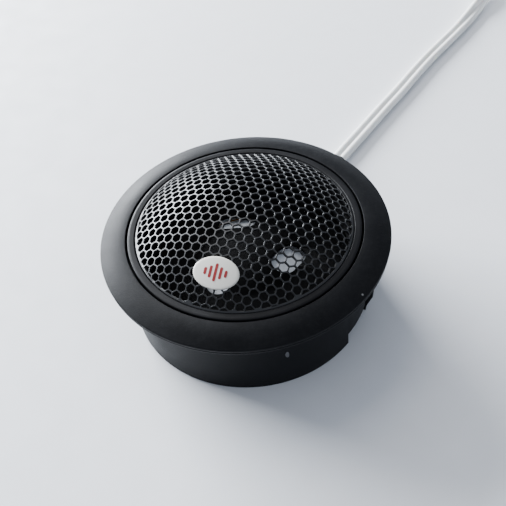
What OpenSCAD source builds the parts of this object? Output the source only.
// Flush-mount car tweeter: a dome driver in a round pod, which twist-locks into a flanged cup.
// Z = 0 is the cup's bottom edge, +Z points out of the grille, and the Z axis is the middle.

/* [Flanged cup] */
// Outer diameter of the cup's wall
cup_d = 47.8; // [47:0.1:58]
// How far the flange stands out beyond the cup's wall, all round
flange_w = 4.1; // [3:0.1:6]
// Height of the flange's underside above the cup's bottom edge
seat_h = 16.1; // [16:0.1:22]
// Thickness of the flange from its underside up to its widest edge
rim_t = 1.75; // [1.2:0.05:3]
// Rise of the flange's convex face from its widest edge to its inner edge
face_rise = 1.27; // [0.6:0.01:2.5]
// Wall of the cup
cup_wall = 1.4; // [1:0.1:2]
// Height of the two plain notches in the cup's bottom edge
notch_h = 3.0; // [2:0.1:5]
// How far the snap tabs stand out of the wall
tab_out = 1.3; // [0.5:0.1:2]

/* [Pod] */
// Open groove between the flange and the bezel
groove = 0.4; // [0.3:0.05:0.8]
// Width of the bezel ring that shows around the grille
bezel_w = 1.6; // [1.2:0.1:3]
// Rise of the domed grille above its rim
grille_rise = 6.87; // [5.5:0.01:9]
// Thickness of the grille's sheet
grille_t = 0.5; // [0.3:0.05:0.8]
// Wall of the pod's tube and rear cover
pod_wall = 1.0; // [0.8:0.1:1.3]
// How far the cup turns on the pod from locked to free, in degrees
twist = 24; // [18:1:28]

/* [Motor] */
// Inner diameter of the voice coil's former
coil_d = 25; // [20:0.1:26]
// Radial air gap on each side of the coil
air_gap = 0.3; // [0.25:0.05:0.5]
// Thickness of the magnet
magnet_t = 2.6; // [2:0.1:3.2]
// Rise of the diaphragm's dome
dome_rise = 3.6; // [2.5:0.1:4.5]
// Travel of the diaphragm each way from rest
travel = 0.4; // [0.2:0.05:0.5]

/* [Lead] */
// Width of the flat twin lead
lead_w = 3.6; // [3:0.1:4]
// Thickness of the flat twin lead
lead_t = 1.8; // [1.4:0.1:2]

/* [Hidden] */
$fn = 96;
eps = 0.01;
big = 100;

// Flanged cup
cup_r = cup_d / 2;
flange_r = cup_r + flange_w;
cup_in_r = cup_r - cup_wall;
opening_r = cup_r - 1;
rim_z = seat_h + rim_t;
face_z = rim_z + face_rise;
flange_under_r = flange_r - 1.4;
lip_r = cup_in_r - 1.1;
lip_z0 = seat_h - 0.7;
lip_z1 = seat_h + 0.7;
notch_a0 = -44;
notch_a1 = -24;
lead_clear = 0.9;
lead_notch_h = 5;
tab_a0 = -22.5;
tab_a1 = -10.5;
tab_slot_a = 2.4;
tab_h = 11.5;
tab_foot_z = 0.6;
tab_knee_z = 4.5;
tab_root = 0.2;
lock_n = 3;
lock_a0 = 1;
lock_lug_a = 16;
lock_slot_a = lock_lug_a + 4;

// Pod
part_gap = 0.3;
slip = 0.15;
rim_lip = 0.8;
pod_r = lip_r - part_gap;
pod_in_r = pod_r - pod_wall;
bezel_r = opening_r - groove;
grille_r = bezel_r - bezel_w;
frame_flange_z = lip_z1 + part_gap;
frame_top_z = frame_flange_z + 0.9;
grille_rim_r = grille_r + rim_lip;
lock_top_z = lip_z0 - part_gap;
lock_h = 2;

// Rear cover and motor stack
cover_z = 0.5;
cover_floor = 1;
yoke_z = cover_z + cover_floor;
yoke_floor = 1.4;
magnet_z = yoke_z + yoke_floor;
pole_z = magnet_z + magnet_t;
pole_t = 1.8;
motor_top_z = pole_z + pole_t;
former_r = coil_d / 2;
former_t = 0.12;
winding_t = 0.35;
coil_out_r = former_r + former_t + winding_t;
pole_r = former_r - air_gap;
yoke_in_r = coil_out_r + air_gap;
yoke_r = yoke_in_r + 1.65;
magnet_r = pole_r - 1.2;
felt_r = pole_r - 2.2;
felt_t = 1;

// Diaphragm, surround and phase plate
ledge_z0 = motor_top_z + 0.1;
ledge_z = ledge_z0 + 1;
cloth_t = 0.25;
roll_in_r = former_r + former_t + slip;
roll_r = 1.35;
roll_mid_r = roll_in_r + roll_r;
roll_out_r = roll_mid_r + roll_r;
clamp_r = roll_out_r + 1.5;
dome_z = ledge_z;
dome_sphere_r = (pow(former_r, 2) + pow(dome_rise, 2)) / (2 * dome_rise);
dome_centre_z = dome_z + dome_rise - dome_sphere_r;
plate_gap = travel + 0.25;
plate_t = 0.6;
plate_r = pod_in_r - slip;
plate_sphere_r = dome_sphere_r + cloth_t + plate_gap;
plate_z = ledge_z + roll_r + travel + part_gap + plate_t;
plate_flat_r = sqrt(pow(plate_sphere_r, 2) - pow(plate_z - plate_t - dome_centre_z, 2));
window_n = 3;
window_a0 = 98.6;
window_ring_r = 8.5;
window_l = 8;
window_w = 4.8;
window_twist = -22;

// Screws that hold the rear cover to the front frame
boss_n = 3;
boss_a0 = 1;
boss_ring_r = pod_in_r - 2.5;
boss_r = 2.1;
boss_split_z = 4.2;
screw_r = 0.8;
screw_head_r = 1.5;
screw_head_h = 0.9;
screw_l = 4.6;

// Terminals, on the side of the pod that the lead leaves by
board_a = 92;
board_r = pod_in_r - 2.5;
board_z = 3.2;
board_in = 1.9;
board_half_a = 14;
board_t = 0.8;
lug_half_a = 7;
lug_top_z = board_z + 2.1;
wire_d = 0.9;

// Grille
grille_z = face_z - 0.05;
grille_sphere_r = (pow(grille_r, 2) + pow(grille_rise, 2)) / (2 * grille_rise);
grille_centre_z = grille_z + grille_rise - grille_sphere_r;
badge_a = -113;
badge_ring_r = 15.1;
badge_tilt = asin(badge_ring_r / grille_sphere_r);
badge_l = 8.6;
badge_w = 6;
badge_t = 0.6;

// The lead's route: centre points, straight out of the pod and down on to the surface
lead_aim = 49.1;
relief_points = [[8.3, 16.9, 3.0], [9.8, 18.7, 3.0], [12.4, 21.7, 2.9], [15.0, 24.7, 2.4],
  [18.3, 28.5, 1.8], [21.6, 32.3, 1.4], [24.0, 35.1, 1.35]];
run_points = [[24.1, 35.2, 1.0], [30, 42, 0.95], [34.6, 47.3, 0.95], [39.4, 52.8, 0.95],
  [44.3, 58.3, 0.95], [49.3, 64.2, 0.95], [54.6, 70.2, 0.95], [60.2, 76, 0.95],
  [65.8, 81.8, 0.95], [71, 87.6, 1.2], [76, 93.6, 1.75], [80.6, 99.6, 2.1],
  [84.5, 104.8, 2.3]];
run_roll = [0, 0, 0, 0, 0, 0, 0, 0, 0, 20, 50, 80, 90];
coil_x = 106.5;
coil_y = 96;
coil_z = 0.5;
coil_mid_r = 18.9;
coil_turns = 3;
coil_pitch = 2;
coil_in_r = coil_mid_r - coil_turns * coil_pitch / 2 - lead_t / 2;
coil_out_r_lead = coil_mid_r + coil_turns * coil_pitch / 2 + lead_t / 2;
coil_h = lead_w;
tail_points = [[106.4, 110, 2.3], [108, 109, 2.3], [109.2, 107.7, 2.3], [110.2, 105.5, 2.3],
  [110.6, 103.2, 2.3], [110.6, 101.8, 2.3]];
plug_x = 110.6;
plug_y = 95.8;
plug_l = 12;
plug_w = 6.2;
plug_h = 4.2;
plug_wall = 0.8;
plug_z = 0.05;
socket_l = 7;
pin_w = 0.8;
pin_l = 6.2;
pin_pitch = 2.5;
tie_a = 205;
tie_t = 0.4;
tie_w = 2.4;
tie_head_l = 3.6;
tie_head_w = 4;
tie_head_h = 2.2;
tube_sides = 8;
sleeve_wall = 0.4;
relief_w = lead_w + 2 * sleeve_wall;
relief_t = lead_t + 2 * sleeve_wall;

// A sector of a ring, from angle a0 to a1
module sector(r_in, r_out, a0, a1, z0, h) {
  rotate(a0)
    translate([0, 0, z0])
      rotate_extrude(angle = a1 - a0)
        translate([r_in, 0])
          square([r_out - r_in, h]);
}

// A ring or disc as a revolved rectangle
module ring(r_in, r_out, z0, z1) {
  rotate_extrude()
    translate([r_in, z0])
      square([r_out - r_in, z1 - z0]);
}

// Half of the outline of a spherical cap's shell, with its underside t below its top
module cap_outline(sphere_r, centre_z, t, r_in, r_out) {
  intersection() {
    difference() {
      translate([0, centre_z]) circle(sphere_r);
      translate([0, centre_z]) circle(sphere_r - t);
    }
    translate([r_in, centre_z + sphere_r / 2]) square([r_out - r_in, sphere_r]);
  }
}

// Unit vector and cross product helpers for the swept tubes
function unit(v) = v / norm(v);
function heading(p, i) = unit(p[min(i + 1, len(p) - 1)] - p[max(i - 1, 0)]);

// One ring of a flat tube's skin: w across the lead, t through it, turned by roll about its run
function tube_ring(at, along, w, t, roll) =
  let (side = unit(cross([0, 0, 1], along)), up = cross(along, side))
  let (a = side * cos(roll) + up * sin(roll), b = up * cos(roll) - side * sin(roll))
  [for (k = [0 : tube_sides - 1])
    let (q = 360 * (k + 0.5) / tube_sides)
    at + a * (w / 2) * cos(q) / cos(180 / tube_sides) + b * (t / 2) * sin(q) / cos(180 / tube_sides)];

module swept_tube(points, w, t, roll) {
  n = len(points);
  m = tube_sides;
  skin = [for (i = [0 : n - 1]) each tube_ring(points[i], heading(points, i), w, t, roll[i])];
  sides = [for (i = [0 : n - 2]) for (k = [0 : m - 1])
    let (a = i * m + k, b = i * m + (k + 1) % m)
    each [[a, a + m, b + m], [a, b + m, b]]];
  ends = [[for (k = [0 : m - 1]) k], [for (k = [m - 1 : -1 : 0]) (n - 1) * m + k]];
  polyhedron(points = skin, faces = concat(sides, ends));
}

// ---- Flanged cup ----

// Half section of the wall, the convex flange and the inner lip, from the bottom edge round
module cup_outline()
  polygon([[cup_in_r, 0], [cup_r, 0], [cup_r, seat_h], [flange_under_r, seat_h],
    [flange_r - 0.1, rim_z - 1], [flange_r, rim_z - 0.6], [flange_r - 0.12, rim_z - 0.25],
    [flange_r - 0.6, rim_z + 0.3], [flange_r - 1.6, rim_z + 0.55], [opening_r + 1.7, face_z - 0.1],
    [opening_r + 0.15, face_z], [opening_r, face_z - 0.15], [opening_r, lip_z1], [lip_r, lip_z1],
    [lip_r, lip_z0], [cup_in_r, lip_z0]]);

module lock_slots() {
  for (k = [0 : lock_n - 1])
    let (a = lock_a0 + k * 360 / lock_n - twist)
      sector(lip_r - 1, cup_in_r, a - lock_slot_a / 2, a + lock_slot_a / 2, lip_z0 - 1, 4);
}

// Wide notch in the bottom edge that the lead passes through at both ends of the twist
module lead_notch() {
  a = atan2(relief_points[2][1], relief_points[2][0]);
  half = asin((relief_w / 2 + lead_clear) / cup_r);
  sector(cup_in_r - 1, cup_r + 2, a - half - twist, a + half, -1, lead_notch_h + 1);
}

// A spring tab of the wall, which flares outwards upwards: slots cut its two sides free
module snap_tab(a)
  rotate(a - 1)
    rotate_extrude(angle = tab_a1 - tab_a0 + 2)
      polygon([[cup_r - cup_wall / 2, tab_foot_z], [cup_r - tab_root, tab_foot_z],
        [cup_r + tab_out, tab_knee_z], [cup_r + tab_out, tab_h - 1], [cup_r - tab_root, tab_h - 0.2],
        [cup_r - cup_wall / 2, tab_h - 0.2]]);

module flush_cup() color("#1c1c1e") {
  difference() {
    union() {
      rotate_extrude() cup_outline();
      for (side = [0, 180]) snap_tab(tab_a0 + side);
    }
    lock_slots();
    lead_notch();
    for (side = [0, 180]) {
      sector(cup_in_r - 1, cup_r + 1, notch_a0 + side, notch_a1 + side, -1, notch_h + 1);
      for (a = [tab_a0 - tab_slot_a, tab_a1])
        sector(cup_in_r - 1, cup_r + 3, a + side, a + side + tab_slot_a, -1, tab_h + 1);
    }
  }
}

// ---- Pod ----

module pod_bezel() color("#262628")
  rotate_extrude()
    polygon([[grille_rim_r + 0.1, frame_top_z], [bezel_r, frame_top_z], [bezel_r, face_z - 0.2],
      [bezel_r - 0.25, face_z + 0.05], [grille_r + 0.35, face_z + 0.1], [grille_r + 0.05, face_z - 0.1],
      [grille_r + 0.05, frame_top_z + grille_t + 0.05], [grille_rim_r + 0.1, frame_top_z + grille_t + 0.05]]);

module grille_mesh() color("#141414")
  rotate_extrude()
    union() {
      cap_outline(grille_sphere_r, grille_centre_z, grille_t, 0, grille_r);
      translate([grille_r - grille_t, frame_top_z])
        square([grille_t, grille_z - frame_top_z - grille_t / 2]);
      translate([grille_r - grille_t, frame_top_z])
        square([grille_rim_r - grille_r + grille_t, grille_t]);
    }

module grille_badge() color("#d9d6cb")
  translate([0, 0, grille_centre_z])
    rotate(badge_a)
      rotate([0, badge_tilt, 0])
        intersection() {
          difference() {
            sphere(grille_sphere_r + badge_t + 0.02, $fn = 256);
            sphere(grille_sphere_r + 0.02, $fn = 256);
          }
          translate([0, 0, grille_sphere_r - 3])
            linear_extrude(8)
              scale([badge_w / badge_l, 1]) circle(d = badge_l);
        }

module front_frame() color("#232325") {
  difference() {
    union() {
      ring(pod_in_r, bezel_r - 0.05, frame_flange_z, frame_top_z);
      ring(pod_in_r, pod_r, ledge_z0, frame_flange_z + eps);
      ring(yoke_in_r + 0.9, pod_r, ledge_z0, ledge_z);
      ring(clamp_r + 0.1, pod_in_r + eps, ledge_z - eps, plate_z - plate_t);
      for (k = [0 : lock_n - 1])
        let (a = lock_a0 + k * 360 / lock_n)
          sector(pod_r - 0.2, cup_in_r - 0.3, a - lock_lug_a / 2, a + lock_lug_a / 2,
            lock_top_z - lock_h, lock_h);
      at_bosses() translate([0, 0, boss_split_z]) cylinder(h = ledge_z0 - boss_split_z + eps, r = boss_r);
    }
    at_bosses() translate([0, 0, boss_split_z - 1]) cylinder(h = screw_l, r = screw_r);
  }
}

module at_bosses() {
  for (k = [0 : boss_n - 1])
    rotate(boss_a0 + k * 360 / boss_n)
      translate([boss_ring_r, 0, 0])
        children();
}

// The plate follows the diaphragm's dome, then runs out flat to the frame's step
module phase_plate() color("#101012")
  difference() {
    rotate_extrude()
      union() {
        intersection() {
          cap_outline(plate_sphere_r + plate_t, dome_centre_z, plate_t, 0, plate_r);
          translate([0, plate_z - plate_t]) square([plate_r, 20]);
        }
        translate([plate_flat_r, plate_z - plate_t]) square([plate_r - plate_flat_r, plate_t]);
      }
    for (k = [0 : window_n - 1])
      rotate(window_a0 + k * 360 / window_n)
        translate([window_ring_r, 0, 0])
          rotate(window_twist)
            translate([0, 0, ledge_z - 1])
              linear_extrude(12)
                window_outline();
  }

// A round-ended slot, long side across the radius
module window_outline() {
  run = (window_l - window_w) / 2;
  union() {
    square([window_w, 2 * run], center = true);
    for (s = [-run, run]) translate([0, s]) circle(d = window_w);
  }
}

module surround_ring() color("#2b2b2e")
  ring(roll_out_r + slip, clamp_r, ledge_z + cloth_t, ledge_z + cloth_t + 0.8);

// Half-roll of cloth, with a flat rim under the clamp ring
module surround() color("#c9ccd0")
  rotate_extrude()
    union() {
      intersection() {
        difference() {
          translate([roll_mid_r, ledge_z]) circle(roll_r);
          translate([roll_mid_r, ledge_z]) circle(roll_r - cloth_t);
        }
        translate([0, ledge_z]) square([big, big]);
      }
      translate([roll_out_r - cloth_t, ledge_z]) square([clamp_r - roll_out_r + cloth_t, cloth_t]);
    }

module dome_diaphragm() color("#dfe2e6")
  rotate_extrude()
    intersection() {
      cap_outline(dome_sphere_r, dome_centre_z, cloth_t, 0, former_r);
      translate([0, dome_z]) square([former_r, 20]);
    }

module coil_former() color("#b98c4a")
  ring(former_r, former_r + former_t, pole_z - 0.4, dome_z + 0.2);

module voice_coil() color("#b5652b")
  ring(former_r + former_t, coil_out_r, pole_z - 0.3, motor_top_z + 0.1);

module damping_felt() color("#6d6a66")
  ring(0, felt_r, motor_top_z, motor_top_z + felt_t);

module pole_plate() color("#9da0a4")
  ring(0, pole_r, pole_z, motor_top_z);

module magnet() color("#c9ccd1")
  ring(0, magnet_r, magnet_z, pole_z);

module yoke() color("#8e9196") {
  ring(0, yoke_r, yoke_z, magnet_z);
  ring(yoke_in_r, yoke_r, magnet_z - eps, motor_top_z);
}

module rear_cover() color("#202022") {
  difference() {
    union() {
      ring(0, pod_r, cover_z, yoke_z);
      ring(pod_in_r, pod_r, yoke_z - eps, ledge_z0);
      at_bosses() translate([0, 0, cover_z]) cylinder(h = boss_split_z - cover_z, r = boss_r);
    }
    at_bosses() {
      translate([0, 0, cover_z - 1]) cylinder(h = 1 + screw_head_h + 0.2, r = screw_head_r + 0.15);
      translate([0, 0, cover_z]) cylinder(h = boss_split_z, r = screw_r + 0.1);
    }
    lead_slot();
  }
}

// Opening in the rear cover's side for the strain relief, which follows its route outwards
module lead_slot()
  for (at = [for (i = [1 : 3]) relief_points[i]])
    translate(at)
      rotate(lead_aim)
        cube([6, relief_w + 0.4, relief_t + 0.3], center = true);

module cover_screws() color("#b8bbc0")
  at_bosses()
    translate([0, 0, cover_z + 0.2])
      difference() {
        union() {
          cylinder(h = screw_head_h, r = screw_head_r);
          cylinder(h = screw_l, r = screw_r);
        }
        for (a = [0, 90])
          rotate(a) cube([1.9, 0.4, 0.8], center = true);
      }

module terminal_board() color("#8a6a3a")
  difference() {
    sector(board_r - board_in, pod_in_r - slip, board_a - board_half_a, board_a + board_half_a,
      board_z, board_t);
    at_lugs() translate([-0.6, -0.5, -1]) cube([1.2, 1, 4]);
  }

module at_lugs() {
  for (s = [-lug_half_a, lug_half_a])
    rotate(board_a + s)
      translate([board_r + 0.2, 0, board_z])
        children();
}

module terminal_lugs() color("#c8b27a")
  at_lugs() {
    translate([-0.6, -0.5, -0.5]) cube([1.2, 1, lug_top_z - board_z + 0.5]);
    translate([-1.2, -1, 0.8]) cube([2.4, 2, 0.3]);
  }

module inner_wires() color("#d8d8d4")
  for (s = [0, 1]) {
    lug = board_a + lug_half_a * (2 * s - 1);
    start = relief_points[0] + [1.5 * s - 1.6, -1.1 * s - 0.1, 0];
    reach = board_r + 0.8 - 1.5 * s;
    rise = [start[0] - 1.4, start[1] - 0.3 - 0.4 * s, lug_top_z + 0.2 + 0.3 * s];
    finish = [reach * cos(lug), reach * sin(lug), lug_top_z + 0.5];
    swept_tube([start, rise, finish], wire_d, wire_d, [0, 0, 0]);
  }

module strain_relief() color("#19191b")
  swept_tube(relief_points, relief_w, relief_t, [for (p = relief_points) 0]);

// ---- Lead ----

module lead_run() color("#e6e6e2")
  swept_tube(run_points, lead_w, lead_t, run_roll);

module lead_coil() color("#e6e6e2")
  translate([coil_x, coil_y, 0])
    ring(coil_in_r, coil_out_r_lead, coil_z, coil_z + coil_h);

module lead_tail() color("#e6e6e2")
  swept_tube(tail_points, lead_w, lead_t, [for (p = tail_points) 90]);

// A band round the coil's section, with a square head on top
module coil_tie() color("#161616")
  translate([coil_x, coil_y, 0])
    rotate(tie_a) {
      difference() {
        translate([coil_in_r - tie_t, -tie_w / 2, 0])
          cube([coil_out_r_lead - coil_in_r + 2 * tie_t, tie_w, coil_z + coil_h + tie_t]);
        translate([coil_in_r - tie_t / 2, -tie_w, coil_z - 0.1])
          cube([coil_out_r_lead - coil_in_r + tie_t, 2 * tie_w, coil_h + 0.2]);
      }
      translate([coil_out_r_lead - tie_head_l - 1, -tie_head_w / 2, coil_z + coil_h + tie_t - eps])
        cube([tie_head_l, tie_head_w, tie_head_h]);
    }

module plug_housing() color("#e9e7dd")
  translate([plug_x - plug_h / 2, plug_y - plug_l / 2, plug_z])
    difference() {
      cube([plug_h, plug_l, plug_w]);
      translate([plug_wall, -1, plug_wall])
        cube([plug_h - 2 * plug_wall, socket_l + 1, plug_w - 2 * plug_wall]);
    }

module plug_pins() color("#c8a95a")
  for (s = [-pin_pitch / 2, pin_pitch / 2])
    translate([plug_x - pin_w / 2, plug_y - plug_l / 2 + socket_l - pin_l, plug_z + (plug_w - pin_w) / 2 + s])
      cube([pin_w, pin_l, pin_w]);

flush_cup();
pod_bezel();
grille_mesh();
grille_badge();
front_frame();
phase_plate();
surround_ring();
surround();
dome_diaphragm();
coil_former();
voice_coil();
damping_felt();
pole_plate();
magnet();
yoke();
rear_cover();
cover_screws();
terminal_board();
terminal_lugs();
inner_wires();
strain_relief();
lead_run();
lead_coil();
lead_tail();
coil_tie();
plug_housing();
plug_pins();
